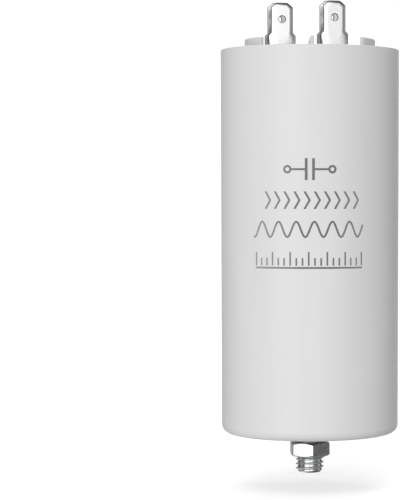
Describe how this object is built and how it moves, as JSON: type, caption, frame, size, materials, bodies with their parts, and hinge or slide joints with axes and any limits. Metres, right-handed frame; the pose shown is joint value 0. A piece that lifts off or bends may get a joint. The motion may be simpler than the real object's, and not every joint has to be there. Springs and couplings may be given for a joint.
{
  "type": "motor run capacitor",
  "caption": "Round plastic-cased motor run capacitor with a threaded mounting stud and nut below, and double push-on terminals inside a split collar on top.",
  "frame": {"origin": "on the can's axis, in the plane of the flat seat round its bottom", "axes": "+Z along the can's axis from the mounting stud towards the terminals, +X to the right and +Y away from the side that the print is on"},
  "size_m": [0.05, 0.05, 0.1319],
  "materials": {
    "case_plastic": "satin moulded polypropylene",
    "lid_plastic": "satin moulded plastic",
    "tinned_brass": "bright tin plate on brass",
    "zinc_steel": "bright zinc plate",
    "solder": "dull tin solder",
    "sprayed_zinc": "rough sprayed metal",
    "film": "metallised plastic film, wound",
    "wrap": "clear wrapping film",
    "resin": "poured potting resin",
    "inner_plastic": "natural moulded plastic",
    "sleeving": "plastic sleeving",
    "print_ink": "thin grey pad-printed ink",
    "tinned_copper": "tinned copper wire"
  },
  "bodies": {
    "root": {"case": "case_plastic", "base_spacer": "inner_plastic", "winding_core": "inner_plastic", "film_winding": "film", "bottom_end_spray": "sprayed_zinc", "top_end_spray": "sprayed_zinc", "outer_wrap": "wrap", "lead_long": "tinned_copper", "lead_short": "tinned_copper", "sleeve_long": "sleeving", "sleeve_short": "sleeving", "solder_bottom_spray": "solder", "solder_top_spray": "solder", "potting_resin": "resin", "lid": "lid_plastic", "terminal_left": "tinned_brass", "terminal_right": "tinned_brass", "rivet_left": "tinned_brass", "rivet_right": "tinned_brass", "solder_tag_left": "tinned_brass", "solder_tag_right": "tinned_brass", "solder_left": "solder", "solder_right": "solder", "mounting_stud": "zinc_steel", "washer": "zinc_steel", "hex_nut": "zinc_steel"}
  },
  "joints": []
}
